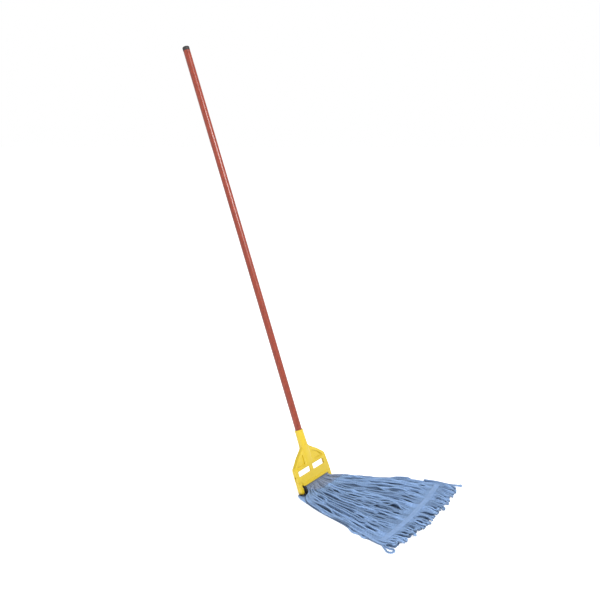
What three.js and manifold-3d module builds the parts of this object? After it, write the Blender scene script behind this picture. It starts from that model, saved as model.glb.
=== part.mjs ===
// Wet string mop: lacquered pole, plastic side-gate yoke and looped-end yarn head.
// Millimetres, +Z up. The floor is z = 0 and the origin lies under the middle of the crossbar.
// The crossbar runs along X, the yarn lies out along -Y and the pole leans back along +Y.
import * as THREE from 'three';
import * as BufferGeometryUtils from 'three/addons/utils/BufferGeometryUtils.js';
import Module from 'manifold-3d';

const wasm = await Module();
wasm.setup();

// Driving dimensions
const GAP = 0.3; // between touching pieces
const LEAN = THREE.MathUtils.degToRad(21);
const BAR_HEIGHT = 20; // crossbar axis above the floor
const BAR_RADIUS = 5;
const BAR_HEAD_RADIUS = 7;
const BAR_HEAD_LENGTH = 4;
const THREAD_RADIUS = 4.7;
const THREAD_PITCH = 1.75;

const POLE_RADIUS = 12.7;
const POLE_LENGTH = 1524;
const SOCKET_TOP = 204; // along the pole from the crossbar axis
const SOCKET_DEPTH = 60;
const SOCKET_BASE = 140;
const CAP_LENGTH = 13;

const YOKE_LEFT = -88;
const YOKE_RIGHT = 92; // at the shoulder
const LEG_RIGHT = 98; // outer side of the leg that holds the crossbar's head
const YOKE_BOTTOM = 11;
const YOKE_FACES = [-9, 7]; // front and back of the yoke's plate
const LEG_WIDTH = 18;
const WINDOW_INNER = 9;
const WINDOW_OUTER = 75;
const WINDOW_LOW = 49.5;
const WINDOW_HIGH = 69;
const WINDOW_SKIN = 4; // thickness of the plate round the windows

const GATE_X = -79.5; // centre of the gate finger and of its pivot
const GATE_HALF_WIDTH = 8.5;
const GATE_FACES = [-9, 8];
const GATE_PIVOT_HEIGHT = 45;
const GATE_SEAT_RADIUS = 16;
const TONGUE_HALF_DEPTH = 3.4;
const PIN_RADIUS = 2.5;
const PIN_TIP = -5.2; // the pin is driven in from the back and ends inside the front cheek

const WHEEL_RADIUS = 16;
const WHEEL_RIM = [-67, -60]; // along the crossbar
const WHEEL_HUB_END = -70.4;
const WHEEL_HUB_RADIUS = 6.4;
const WHEEL_NOTCHES = 20;

const HEADBAND_ENDS = [-56, 78]; // along the crossbar
const BUNDLES = 10; // each one stands for six strands in the front layer and six in the back layer
const BUNDLE_GAP = 0.7;
const YARN_RADIUS = 3.7;

const YELLOW = { color: 0xecd23e, roughness: 0.38, metalness: 0 };
const STEEL = { color: 0xb4b7ba, roughness: 0.3, metalness: 1 };
const DARK_PLASTIC = { color: 0x26262a, roughness: 0.5, metalness: 0 };
const LACQUERED_WOOD = { color: 0xa5503a, roughness: 0.25, metalness: 0 };
const YARN = { color: 0x7a94be, roughness: 0.95, metalness: 0 };
const MESH_FABRIC = { color: 0x7f8ea8, roughness: 0.9, metalness: 0 };
const TAPE = { color: 0x87a5cd, roughness: 0.85, metalness: 0 };

// ---------- geometry helpers ----------

function toManifold(geometry) {
  const bare = geometry.clone();
  bare.deleteAttribute('normal');
  bare.deleteAttribute('uv');
  const welded = BufferGeometryUtils.mergeVertices(bare, 1e-4);
  const mesh = new wasm.Mesh({
    numProp: 3,
    vertProperties: new Float32Array(welded.attributes.position.array),
    triVerts: new Uint32Array(welded.index.array),
  });
  return new wasm.Manifold(mesh);
}

function fromManifold(solid) {
  const mesh = solid.getMesh();
  const geometry = new THREE.BufferGeometry();
  geometry.setAttribute('position', new THREE.BufferAttribute(mesh.vertProperties, 3));
  geometry.setIndex(new THREE.BufferAttribute(mesh.triVerts, 1));
  geometry.computeVertexNormals();
  return geometry;
}

function carve(base, { joined = [], removed = [] }) {
  let solid = toManifold(base);
  for (const piece of joined) solid = solid.add(toManifold(piece));
  for (const piece of removed) solid = solid.subtract(toManifold(piece));
  return fromManifold(solid);
}

function box(xRange, yRange, zRange) {
  const size = [xRange, yRange, zRange].map(([low, high]) => high - low);
  const middle = [xRange, yRange, zRange].map(([low, high]) => (low + high) / 2);
  return new THREE.BoxGeometry(...size).translate(...middle);
}

// A profile of [radius, height] pairs turned about the Z axis.
function turned(profile, segments = 32) {
  const points = profile.map(([radius, height]) => new THREE.Vector2(radius, height));
  return new THREE.LatheGeometry(points, segments).rotateX(Math.PI / 2);
}

// The same, turned about the X axis: profile pairs are [radius, x].
function turnedAlongX(profile, segments = 32) {
  return turned(profile, segments).rotateY(Math.PI / 2);
}

function rod(radius, low, high, segments = 32) {
  return turned([[0, low], [radius, low], [radius, high], [0, high]], segments);
}

// An XZ outline made as thick as the Y range, with rounded edges.
function plate(shape, yLow, yHigh, bevel = 0) {
  const geometry = new THREE.ExtrudeGeometry(shape, {
    depth: yHigh - yLow - 2 * bevel,
    curveSegments: 10,
    bevelEnabled: bevel > 0,
    bevelSize: bevel,
    bevelThickness: bevel,
    bevelOffset: -bevel,
    bevelSegments: 2,
  });
  return geometry.rotateX(Math.PI / 2).translate(0, yHigh - bevel, 0);
}

function polygon(corners) {
  return new THREE.Shape(corners.map(([x, z]) => new THREE.Vector2(x, z)));
}

// A closed solid through rings that all have the same number of points.
function ringSolid(rings) {
  const count = rings[0].length;
  const positions = rings.flat().flatMap((point) => [point.x, point.y, point.z]);
  const index = [];
  for (let ring = 0; ring + 1 < rings.length; ring += 1) {
    for (let side = 0; side < count; side += 1) {
      const next = (side + 1) % count;
      const [a, b] = [ring * count + side, ring * count + next];
      index.push(a, b, b + count, a, b + count, a + count);
    }
  }
  const last = (rings.length - 1) * count;
  for (let side = 1; side + 1 < count; side += 1) {
    index.push(0, side + 1, side);
    index.push(last, last + side, last + side + 1);
  }
  const geometry = new THREE.BufferGeometry();
  geometry.setAttribute('position', new THREE.Float32BufferAttribute(positions, 3));
  geometry.setIndex(index);
  geometry.computeVertexNormals();
  return geometry;
}

function mesh(name, geometry, finish) {
  const piece = new THREE.Mesh(geometry, new THREE.MeshStandardMaterial(finish));
  piece.name = name;
  return piece;
}

// ---------- pole, in the upright frame: Z along the pole, -Y to the front ----------

function poleGeometry() {
  const foot = SOCKET_TOP - SOCKET_DEPTH;
  const top = foot + POLE_LENGTH;
  const neck = POLE_RADIUS - 1.6; // turned down inside the end cap
  const shaft = turned([
    [0, foot], [POLE_RADIUS - 1.5, foot], [POLE_RADIUS, foot + 1.5],
    [POLE_RADIUS, top - CAP_LENGTH], [neck, top - CAP_LENGTH], [neck, top - 1.5], [0, top - 1.5],
  ]);
  return carve(shaft, { removed: [socketScrewHole(3.5, POLE_RADIUS + 1)] });
}

function endCapGeometry() {
  const top = SOCKET_TOP - SOCKET_DEPTH + POLE_LENGTH;
  const outer = POLE_RADIUS + 0.2;
  const inner = POLE_RADIUS - 1.6 + GAP;
  return turned([
    [inner, top - CAP_LENGTH + GAP], [outer, top - CAP_LENGTH + GAP], [outer, top - 1],
    [outer - 2, top + 1.2], [0, top + 1.2], [0, top - 1.5 + GAP], [inner, top - 1.5 + GAP],
    [inner, top - CAP_LENGTH + GAP],
  ]);
}

// ---------- yoke ----------

const SOCKET_SCREW_HEIGHT = 176;

function socketScrewHole(yLow, yHigh) {
  return rod(2.4, -yHigh, -yLow, 16).rotateX(Math.PI / 2).translate(0, 0, SOCKET_SCREW_HEIGHT);
}

function socketScrewGeometry() {
  const seat = 16.2;
  const screw = turned([
    [0, 4], [1.2, 4], [2.1, 6], [2.1, seat],
    [4.6, seat], [4.2, seat + 2], [2.4, seat + 3], [0, seat + 3],
  ], 20);
  const slot = box([-3, 3], [-0.5, 0.5], [seat + 1.8, seat + 4]);
  return carve(screw, { removed: [slot] }).rotateX(-Math.PI / 2).translate(0, 0, SOCKET_SCREW_HEIGHT);
}

function yokeOutline() {
  const [left, right] = [YOKE_LEFT, YOKE_RIGHT];
  const legRadius = LEG_WIDTH / 2;
  const footHeight = -3; // centre of the right leg's rounded end
  const outline = new THREE.Shape();
  outline.moveTo(left, YOKE_BOTTOM);
  outline.lineTo(LEG_RIGHT - LEG_WIDTH, YOKE_BOTTOM);
  outline.absarc(LEG_RIGHT - legRadius, footHeight, legRadius, Math.PI, 2 * Math.PI);
  outline.lineTo(LEG_RIGHT, 32);
  outline.lineTo(right + 1, 76);
  outline.quadraticCurveTo(right - 1, 90, right - 11, 95);
  outline.lineTo(54, 116);
  outline.quadraticCurveTo(32, 128, 15, SOCKET_BASE + 2);
  outline.lineTo(-15, SOCKET_BASE + 2);
  outline.quadraticCurveTo(-32, 127, -52, 114);
  outline.lineTo(left + 9, 89);
  outline.quadraticCurveTo(left + 1, 85, left, 74);
  outline.lineTo(left - 1, 36);
  outline.closePath();
  return outline;
}

function socketBody() {
  const lip = 1.2;
  return turned([
    [0, SOCKET_BASE - 26], [11, SOCKET_BASE - 22], [17, SOCKET_BASE], [15.4, SOCKET_TOP - 8],
    [16, SOCKET_TOP - 7], [16, SOCKET_TOP - lip], [16 - lip, SOCKET_TOP], [0, SOCKET_TOP],
  ]);
}

// A wedge that spreads from the socket down to the rib between the windows.
function spineBody() {
  const sections = [
    { height: SOCKET_BASE + 4, halfWidth: 16.6, halfDepth: 16.6 },
    { height: 120, halfWidth: 18, halfDepth: 13.5 },
    { height: 96, halfWidth: 21, halfDepth: 11 },
    { height: 72, halfWidth: 26, halfDepth: 9.6 },
  ];
  const sides = 16;
  const rings = sections.map(({ height, halfWidth, halfDepth }) =>
    Array.from({ length: sides }, (_, side) => {
      const angle = ((side + 0.5) / sides) * 2 * Math.PI;
      const squareness = 0.75; // below 1 the oval turns into a rounded rectangle
      const spread = (value) => Math.sign(value) * Math.abs(value) ** squareness;
      return new THREE.Vector3(
        halfWidth * spread(Math.cos(angle)), halfDepth * spread(Math.sin(angle)) - 0.6, height);
    }));
  return ringSolid(rings.reverse());
}

// The triangular recess between shoulder, spine and window ledge.
function shoulderRecess(side, yRange) {
  const corners = [[28, 82], [77, 82], [53, 104], [27, 117]];
  const shape = polygon(corners.map(([x, z]) => [side * x, z]));
  return plate(shape, ...yRange);
}

function windowCut(side) {
  const middle = (side * (WINDOW_INNER + WINDOW_OUTER)) / 2;
  const halfWidth = (WINDOW_OUTER - WINDOW_INNER) / 2;
  const corner = 2.5;
  const shape = new THREE.Shape();
  const [left, right] = [middle - halfWidth, middle + halfWidth];
  shape.absarc(right - corner, WINDOW_HIGH - corner, corner, 0, Math.PI / 2);
  shape.absarc(left + corner, WINDOW_HIGH - corner, corner, Math.PI / 2, Math.PI);
  shape.absarc(left + corner, WINDOW_LOW + corner, corner, Math.PI, 1.5 * Math.PI);
  shape.absarc(right - corner, WINDOW_LOW + corner, corner, 1.5 * Math.PI, 2 * Math.PI);
  return plate(shape, -20, 20);
}

// Room for the gate: a corner taken off below the pivot, a slot for the gate's tongue with space
// above it to swing out, and a notch beside the finger's upper end.
function gateSeatCuts() {
  const clearance = 0.6;
  const inner = GATE_X + GATE_HALF_WIDTH + clearance;
  const left = YOKE_LEFT - 3;
  const through = [-20, 20];
  const seat = toManifold(box([left, inner], through, [-30, GATE_PIVOT_HEIGHT]));
  const cheekOutline = circle(GATE_X, GATE_PIVOT_HEIGHT, GATE_SEAT_RADIUS - 0.5);
  const cheek = toManifold(plate(cheekOutline, -21, 21));
  const depth = [-TONGUE_HALF_DEPTH - GAP, TONGUE_HALF_DEPTH + GAP];
  const eye = plate(circle(GATE_X, GATE_PIVOT_HEIGHT, GATE_HALF_WIDTH + clearance), ...depth);
  const slot = box([left, inner], depth, [20, GATE_PIVOT_HEIGHT]);
  const swingTop = GATE_PIVOT_HEIGHT + GATE_HALF_WIDTH + clearance;
  const swing = box([left, GATE_X], depth, [GATE_PIVOT_HEIGHT - 1, swingTop]);
  const notch = box([inner - 1, inner + 2.6], through, [YOKE_BOTTOM - 4, YOKE_BOTTOM + 9]);
  return [fromManifold(seat.subtract(cheek)), eye, slot, swing, notch];
}

function circle(x, z, radius) {
  return new THREE.Shape().absarc(x, z, radius, 0, 2 * Math.PI);
}

function yokeGeometry() {
  const [front, back] = YOKE_FACES;
  const lipOutline = polygon([[-75, YOKE_BOTTOM], [83, YOKE_BOTTOM], [83, 21], [-75, 21]]);
  const lip = plate(lipOutline, front - 2, back + 2, 2.4);
  const ledgeOutline = polygon([[-82, 72], [86, 72], [84, 79], [-80, 79]]);
  const ledge = plate(ledgeOutline, front - 1.6, back + 1.6, 1.6);
  const pinHole = rod(PIN_RADIUS + GAP, -20, GAP - PIN_TIP, 20).rotateX(Math.PI / 2);
  const [barRoom, headRoom] = [BAR_RADIUS + GAP, BAR_HEAD_RADIUS + 0.4];
  const headSeat = LEG_RIGHT - BAR_HEAD_LENGTH - GAP;
  const barHole = turnedAlongX([
    [0, 60], [barRoom, 60], [barRoom, headSeat], [headRoom, headSeat], [headRoom, 105], [0, 105],
  ], 24);
  const wheelRoom = WHEEL_RADIUS + 1.4;
  const wheelNotch = turnedAlongX([[0, -76], [wheelRoom, -76], [wheelRoom, -57.2], [0, -57.2]]);
  return carve(plate(yokeOutline(), front, back, 1.6), {
    joined: [lip, ledge, spineBody(), socketBody()],
    removed: [
      rod(POLE_RADIUS + GAP, SOCKET_TOP - SOCKET_DEPTH - GAP, SOCKET_TOP + 5),
      socketScrewHole(10, 20),
      windowCut(-1), windowCut(1),
      box([-82, 82], [front + WINDOW_SKIN, 12], [45, 71]), // thins the plate behind the windows
      box([-66, 68], [3.2, 12], [25, 42]),
      shoulderRecess(-1, [-14, -6]), shoulderRecess(1, [-14, -6]),
      shoulderRecess(-1, [1, 12]), shoulderRecess(1, [1, 12]),
      pinHole.translate(GATE_X, 0, GATE_PIVOT_HEIGHT),
      barHole, wheelNotch,
      ...gateSeatCuts(),
    ],
  });
}

// ---------- gate, pin, crossbar, wheel ----------

function gateGeometry() {
  const foot = -4; // centre of the rounded lower end
  const finger = new THREE.Shape();
  finger.absarc(GATE_X, GATE_PIVOT_HEIGHT, GATE_HALF_WIDTH, 0, Math.PI);
  finger.absarc(GATE_X, foot, GATE_HALF_WIDTH, Math.PI, 2 * Math.PI);
  const body = toManifold(plate(finger, ...GATE_FACES, 2));
  const seat = toManifold(plate(circle(GATE_X, GATE_PIVOT_HEIGHT, GATE_SEAT_RADIUS), -20, 20));
  const tongue = toManifold(plate(finger, -TONGUE_HALF_DEPTH, TONGUE_HALF_DEPTH));
  const pinHole = toManifold(rod(PIN_RADIUS + 0.05, -20, 20, 20).rotateX(Math.PI / 2)
    .translate(GATE_X, 0, GATE_PIVOT_HEIGHT));
  const inner = GATE_X + GATE_HALF_WIDTH;
  const hubRoom = WHEEL_HUB_RADIUS + 0.5;
  const tipRoom = 6.2;
  const barRoom = turnedAlongX([
    [0, inner - 10], [tipRoom, inner - 10], [tipRoom, inner - 4],
    [hubRoom, inner - 4], [hubRoom, inner + 5], [0, inner + 5],
  ], 24);
  const notch = toManifold(box([inner - 3.5, inner + 1], [-20, 20], [hubRoom + 2, hubRoom + 13]));
  const bored = body.subtract(seat).add(tongue).subtract(pinHole).subtract(toManifold(barRoom));
  return fromManifold(bored.subtract(notch));
}

function gatePinGeometry() {
  const seat = -YOKE_FACES[1] - 0.2;
  const headRadius = 4.4;
  return turned([
    [0, seat - 1.6], [3, seat - 1.6], [headRadius, seat - 0.4], [headRadius, seat],
    [PIN_RADIUS, seat], [PIN_RADIUS, -PIN_TIP - 0.6], [PIN_RADIUS - 0.6, -PIN_TIP], [0, -PIN_TIP],
  ], 20).rotateX(Math.PI / 2).translate(GATE_X, 0, GATE_PIVOT_HEIGHT);
}

function crossbarGeometry() {
  const [tip, threadEnd] = [-78, -56];
  const profile = [[0, tip], [THREAD_RADIUS - 1, tip]];
  for (let x = tip + 0.6; x < threadEnd; x += THREAD_PITCH) {
    profile.push([THREAD_RADIUS - 0.5, x], [THREAD_RADIUS, x + THREAD_PITCH / 2]);
  }
  const head = LEG_RIGHT - BAR_HEAD_LENGTH;
  profile.push([BAR_RADIUS, threadEnd + 1], [BAR_RADIUS, head]);
  profile.push([BAR_HEAD_RADIUS, head], [BAR_HEAD_RADIUS, LEG_RIGHT - 1.4]);
  profile.push([BAR_HEAD_RADIUS - 1.6, LEG_RIGHT], [0, LEG_RIGHT]);
  const slot = box([LEG_RIGHT - 1.2, LEG_RIGHT + 2], [-8, 8], [-0.7, 0.7]);
  return carve(turnedAlongX(profile, 18), { removed: [slot] });
}

function thrustWasherGeometry() {
  return turnedAlongX([[5.3, -59.7], [11, -59.7], [11, -58.3], [5.3, -58.3], [5.3, -59.7]], 28);
}

function thumbWheelGeometry() {
  const shape = new THREE.Shape();
  const steps = WHEEL_NOTCHES * 4;
  for (let step = 0; step < steps; step += 1) {
    const radius = step % 4 < 2 ? WHEEL_RADIUS : WHEEL_RADIUS - 1.1;
    const angle = (step / steps) * 2 * Math.PI;
    const point = [radius * Math.cos(angle), radius * Math.sin(angle)];
    if (step === 0) shape.moveTo(...point);
    else shape.lineTo(...point);
  }
  const depth = WHEEL_RIM[1] - WHEEL_RIM[0];
  const rim = new THREE.ExtrudeGeometry(shape, { depth, bevelEnabled: false })
    .rotateY(Math.PI / 2).translate(WHEEL_RIM[0], 0, 0);
  const hub = turnedAlongX([
    [0, WHEEL_HUB_END], [WHEEL_HUB_RADIUS - 0.6, WHEEL_HUB_END],
    [WHEEL_HUB_RADIUS, WHEEL_HUB_END + 0.6], [WHEEL_HUB_RADIUS, -63], [0, -63],
  ], 24);
  const [dishTop, dishFloor] = [WHEEL_RIM[0] - 1, WHEEL_RIM[0] + 1.6];
  const dish = turnedAlongX([
    [8.5, dishTop], [13, dishTop], [12, dishFloor], [9.5, dishFloor], [8.5, dishTop],
  ], 24);
  const boreRadius = THREAD_RADIUS + GAP;
  const bore = turnedAlongX([[0, -80], [boreRadius, -80], [boreRadius, -50], [0, -50]], 24);
  return carve(rim, { joined: [hub], removed: [dish, bore] });
}

// ---------- yarn ----------

// The outer strands of each layer, seen from above, from the crossbar to the fringe. Point 7 is
// at the tail band and the last one is at the tips.
const STATIONS = 8;
const FAN = {
  front: {
    near: [
      [-56, 0], [-60, -19.5], [-89, -31], [-113, -62], [-128, -125],
      [-144, -226], [-162, -308], [-172, -390], [-158, -430],
    ],
    far: [
      [78, 0], [78.4, -19], [98, -36], [120, -64], [156, -130],
      [232, -221], [283, -299], [308, -352], [314, -412],
    ],
    top: [
      [0, 28.6], [1, 30.5], [2, 30], [3, 28], [4, 25],
      [5, 22.5], [6, 20.4], [6.7, 19.2], [7.3, 19.2], [8, 14],
    ],
    bottom: [
      [0, 25.4], [1, 20], [2, 16], [3, 14], [4, 12.4],
      [5, 11.4], [6, 11.4], [6.7, 11.8], [7.3, 11.8], [8, 7.6],
    ],
  },
  back: {
    near: [
      [-56, 0], [-56.4, -11], [-88, -16], [-112, -56], [-130, -125],
      [-146, -226], [-164, -308], [-174, -388], [-162, -424],
    ],
    far: [
      [78, 0], [78.4, -11], [93, -24], [118, -60], [152, -130],
      [222, -225], [271, -305], [298, -357], [304, -404],
    ],
    top: [
      [0, 14.6], [1, 9], [2, 7], [3, 12.3], [4, 11.8],
      [5, 10.8], [6, 10.2], [6.7, 8.9], [7.3, 8.9], [8, 7],
    ],
    bottom: [
      [0, 2], [1, 2], [2, 2], [2.8, 2], [4, 0],
      [6.5, 0], [6.7, 1.5], [7.3, 1.5], [7.6, 0], [8, 0],
    ],
  },
};

function heightAt(levels, station) {
  const upper = Math.max(1, levels.findIndex(([at]) => at >= station));
  const [[from, low], [to, high]] = [levels[upper - 1], levels[upper]];
  return THREE.MathUtils.mapLinear(station, from, to, low, high);
}

function edgeCurve(corners) {
  return new THREE.CatmullRomCurve3(corners.map(([x, y]) => new THREE.Vector3(x, y, 0)));
}

const edgeCurves = {
  front: [edgeCurve(FAN.front.near), edgeCurve(FAN.front.far)],
  back: [edgeCurve(FAN.back.near), edgeCurve(FAN.back.far)],
};

// A point of a layer in plan: across runs from 0 at the near edge to 1 at the far edge.
function planPoint(layer, station, across) {
  const [near, far] = edgeCurves[layer].map((curve) => curve.getPoint(station / STATIONS));
  const bow = 26 * (station / STATIONS) ** 3; // the middle strands reach further out
  const point = near.lerp(far, across);
  point.y -= bow * 4 * across * (1 - across);
  return point;
}

// Outline of one section, as [share of the width, share of the thickness].
const SECTION = [
  [0, 0.35], [0.2, 0], [0.8, 0], [1, 0.35], [1, 0.65], [0.8, 1], [0.2, 1], [0, 0.65],
];

function sectionRing(layer, station, [from, to], low, high, section = SECTION) {
  return section.map(([wide, thick]) => {
    const point = planPoint(layer, station, THREE.MathUtils.lerp(from, to, wide));
    point.z = THREE.MathUtils.lerp(low, high, thick);
    return point;
  });
}

// The same section where it is wrapped round the crossbar, from above it (90) to below it (-90).
function wrapRing(degrees, [from, to], inner, outer, section = SECTION) {
  const angle = THREE.MathUtils.degToRad(degrees);
  const [left, right] = HEADBAND_ENDS;
  return section.map(([wide, thick]) => {
    const reach = THREE.MathUtils.lerp(inner, outer, thick);
    const x = THREE.MathUtils.lerp(left, right, THREE.MathUtils.lerp(from, to, wide));
    return new THREE.Vector3(x, reach * Math.cos(angle), BAR_HEIGHT + reach * Math.sin(angle));
  });
}

// Below the crossbar the section lies outside in, so that its inner side stays towards the bar.
const FLIPPED = SECTION.map(([wide, thick]) => [wide, 1 - thick]);

function bundleGeometry(number) {
  const margin = BUNDLE_GAP / 2 / (HEADBAND_ENDS[1] - HEADBAND_ENDS[0]);
  const span = [number / BUNDLES + margin, (number + 1) / BUNDLES - margin];
  const stations = [0.5, 1, 1.5, 2, 2.5, 3, 4, 5, 6, 6.7, 7.3, 7.7, 8];
  const layerRing = (layer, station, section) => {
    const low = heightAt(FAN[layer].bottom, station);
    const high = heightAt(FAN[layer].top, station);
    return sectionRing(layer, station, span, low, high, section);
  };
  const over = stations.map((station) => layerRing('front', station, SECTION));
  const round = WRAP_ANGLES.map((degrees) => wrapRing(degrees, span, ...BUNDLE_WRAP));
  const under = [0, ...stations].map((station) => layerRing('back', station, FLIPPED));
  return ringSolid([...under.reverse(), ...round.reverse(), ...over]);
}

const WRAP_ANGLES = [90, 45, 0, -45];
const BUNDLE_WRAP = [5.4, 8.6]; // distance from the crossbar's axis of the yarn wrapped round it
const BAND_WRAP = [8.9, 10.3];
const BAND_THICKNESS = 1.5;
const BAND_SECTION = [0, 0.2, 0.4, 0.6, 0.8, 1].map((wide) => [wide, 0])
  .concat([1, 0.8, 0.6, 0.4, 0.2, 0].map((wide) => [wide, 1]));

const FLAP_END = 2.7; // station of the headband's front and back edges
const CORNER_CUT = 1.3; // the front flap ends this much earlier at its near edge
const CORNER_WIDTH = 0.35; // share of the flap's width

function flapRing(share) {
  return BAND_SECTION.map(([wide, thick]) => {
    const cut = CORNER_CUT * (1 - THREE.MathUtils.smoothstep(wide, 0, CORNER_WIDTH));
    const station = share * (FLAP_END - cut);
    const point = planPoint('front', station, wide);
    point.z = heightAt(FAN.front.top, station) + 2 * GAP + thick * BAND_THICKNESS;
    return point;
  });
}

function headbandGeometry() {
  const shares = [0.2, 0.37, 0.56, 0.74, 0.93, 1];
  const over = shares.map(flapRing);
  const round = WRAP_ANGLES.map((degrees) => wrapRing(degrees, [0, 1], ...BAND_WRAP, BAND_SECTION));
  const turnedOver = BAND_SECTION.map(([wide, thick]) => [wide, 1 - thick]);
  const under = [0, ...shares].map((share) =>
    sectionRing('back', share * FLAP_END, [0, 1], 0, BAND_THICKNESS, turnedOver));
  return ringSolid([...under.reverse(), ...round.reverse(), ...over]);
}

function tailBandGeometry(layer, [low, high]) {
  const halfWidth = 9;
  const steps = 14;
  const rings = Array.from({ length: steps + 1 }, (_, step) => {
    const across = THREE.MathUtils.lerp(0.025, 0.93, step / steps);
    const middle = planPoint(layer, 7, across);
    const along = planPoint(layer, 7.2, across).sub(planPoint(layer, 6.8, across)).normalize();
    return [[-1, low], [1, low], [1, high], [-1, high]].map(([side, height]) =>
      middle.clone().addScaledVector(along, side * halfWidth).setZ(height));
  });
  return ringSolid(rings.reverse());
}

function yarnTube(points) {
  const route = new THREE.CatmullRomCurve3(points.map((point) => new THREE.Vector3(...point)));
  const sides = 8;
  const section = new THREE.Shape(Array.from({ length: sides }, (_, side) => {
    const angle = (side / sides) * 2 * Math.PI;
    return new THREE.Vector2(YARN_RADIUS * Math.cos(angle), YARN_RADIUS * Math.sin(angle));
  }));
  return new THREE.ExtrudeGeometry(section, { steps: 30, extrudePath: route });
}

const LOOSE_LOOP = [
  [-181, -409, 3.9], [-191, -428, 3.8], [-186, -440, 3.8],
  [-174, -443, 3.8], [-169, -435, 3.9],
];
const STRAY_YARN = [[317, -388, 9], [327, -405, 6.5], [333, -416, 5], [339, -427, 3.9]];

// ---------- assembly ----------

const upright = new THREE.Group(); // Z along the pole, X along the crossbar
upright.position.z = BAR_HEIGHT;
upright.rotation.x = -LEAN;
upright.add(
  mesh('handle_pole', poleGeometry(), LACQUERED_WOOD),
  mesh('handle_end_cap', endCapGeometry(), DARK_PLASTIC),
  mesh('yoke', yokeGeometry(), YELLOW),
  mesh('socket_screw', socketScrewGeometry(), STEEL),
  mesh('crossbar', crossbarGeometry(), STEEL),
  mesh('gate_pin', gatePinGeometry(), STEEL),
  mesh('side_gate', gateGeometry(), YELLOW),
  mesh('thrust_washer', thrustWasherGeometry(), STEEL),
  mesh('thumb_wheel', thumbWheelGeometry(), DARK_PLASTIC),
);

const mop = new THREE.Group();
mop.add(upright, mesh('headband', headbandGeometry(), MESH_FABRIC));
for (let number = 0; number < BUNDLES; number += 1) {
  mop.add(mesh(`yarn_bundle_${String(number + 1).padStart(2, '0')}`, bundleGeometry(number), YARN));
}
mop.add(
  mesh('tail_band_front_top', tailBandGeometry('front', [19.5, 20.7]), TAPE),
  mesh('tail_band_front_under', tailBandGeometry('front', [10.4, 11.5]), TAPE),
  mesh('tail_band_back_top', tailBandGeometry('back', [9.2, 10.1]), TAPE),
  mesh('tail_band_back_under', tailBandGeometry('back', [0, 1.2]), TAPE),
  mesh('loose_loop', yarnTube(LOOSE_LOOP), YARN),
  mesh('stray_yarn', yarnTube(STRAY_YARN), YARN),
);

export default mop;
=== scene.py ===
# Wet string mop: lacquered pole, yellow side-gate yoke and a looped-end yarn head.
# Metres, +Z up. The crossbar runs along X, the yarn lies out along -Y and the pole leans towards +Y.
import math

import bpy
import numpy as np
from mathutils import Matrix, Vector


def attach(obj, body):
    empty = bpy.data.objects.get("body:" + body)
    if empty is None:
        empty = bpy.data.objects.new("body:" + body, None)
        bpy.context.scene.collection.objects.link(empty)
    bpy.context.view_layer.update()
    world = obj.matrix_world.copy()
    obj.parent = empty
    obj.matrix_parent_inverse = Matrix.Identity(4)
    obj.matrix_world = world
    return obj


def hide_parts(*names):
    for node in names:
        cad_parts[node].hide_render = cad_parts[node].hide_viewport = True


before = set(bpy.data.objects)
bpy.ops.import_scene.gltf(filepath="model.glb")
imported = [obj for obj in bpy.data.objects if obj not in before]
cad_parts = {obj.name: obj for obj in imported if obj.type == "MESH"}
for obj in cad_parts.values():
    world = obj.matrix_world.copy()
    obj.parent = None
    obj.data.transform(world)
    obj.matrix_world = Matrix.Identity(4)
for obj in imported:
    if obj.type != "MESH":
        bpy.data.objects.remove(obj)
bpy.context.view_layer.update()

MM = 0.001
LEAN = math.radians(21)
BAR_HEIGHT = 20 * MM

# Yarn
STRANDS = 60  # in each of the two layers
BUNDLES = 10
YARN_RADIUS = 3.7 * MM
LAY_LENGTH = 26 * MM  # one turn of the twist
PLIES = 4
RING_POINTS = 660  # along one closed length of yarn
RING_SIDES = 12

# ---------- camera ----------

CAMERA_PLACE = (-1.9029, -1.4123, 1.2849)
CAMERA_HEADING = (-52.1457, 13.5913)
LENS = 42.372  # focal length in millimetres, over a sensor 36 mm wide


def aim(thing, position, direction):
    thing.location = position
    thing.rotation_euler = Vector(direction).to_track_quat("-Z", "Y").to_euler()


def heading(azimuth, elevation):
    """The way something looks from that azimuth (0 looks along +Y) and elevation, in degrees."""
    turn, tip = math.radians(azimuth), math.radians(elevation)
    return (-math.sin(turn) * math.cos(tip), math.cos(turn) * math.cos(tip), -math.sin(tip))


def add_camera():
    data = bpy.data.cameras.new("camera")
    data.sensor_width = 36
    data.lens = LENS
    data.clip_end = 50
    camera = bpy.data.objects.new("camera", data)
    bpy.context.scene.collection.objects.link(camera)
    aim(camera, CAMERA_PLACE, heading(*CAMERA_HEADING))
    bpy.context.scene.camera = camera


add_camera()

# ---------- material helpers ----------


def plug(tree, value, socket):
    """Links an output to the socket, or sets the socket to a plain value."""
    if isinstance(value, bpy.types.NodeSocket):
        tree.links.new(value, socket)
    else:
        socket.default_value = value


def set_inputs(tree, node, **inputs):
    """Inputs are given by name, with _ for a space, as a value or another node's output."""
    for name, value in inputs.items():
        plug(tree, value, node.inputs[name.replace("_", " ")])


def add_node(tree, kind, settings=None, **inputs):
    node = tree.nodes.new(kind)
    for name, value in (settings or {}).items():
        setattr(node, name, value)
    set_inputs(tree, node, **inputs)
    return node


def new_material(name):
    material = bpy.data.materials.new(name)
    material.use_nodes = True
    tree = material.node_tree
    return material, tree, tree.nodes["Principled BSDF"]


def object_coordinates(tree, scale=(1, 1, 1), rotation=(0, 0, 0)):
    place = add_node(tree, "ShaderNodeTexCoord").outputs["Object"]
    mapping = add_node(tree, "ShaderNodeMapping", Vector=place, Scale=scale, Rotation=rotation)
    return mapping.outputs["Vector"]


def cloth_coordinates(tree):
    """Place on a yarn, tape or mesh: round or across it, and along it."""
    return add_node(tree, "ShaderNodeUVMap", {"uv_map": "along"}).outputs["UV"]


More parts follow.
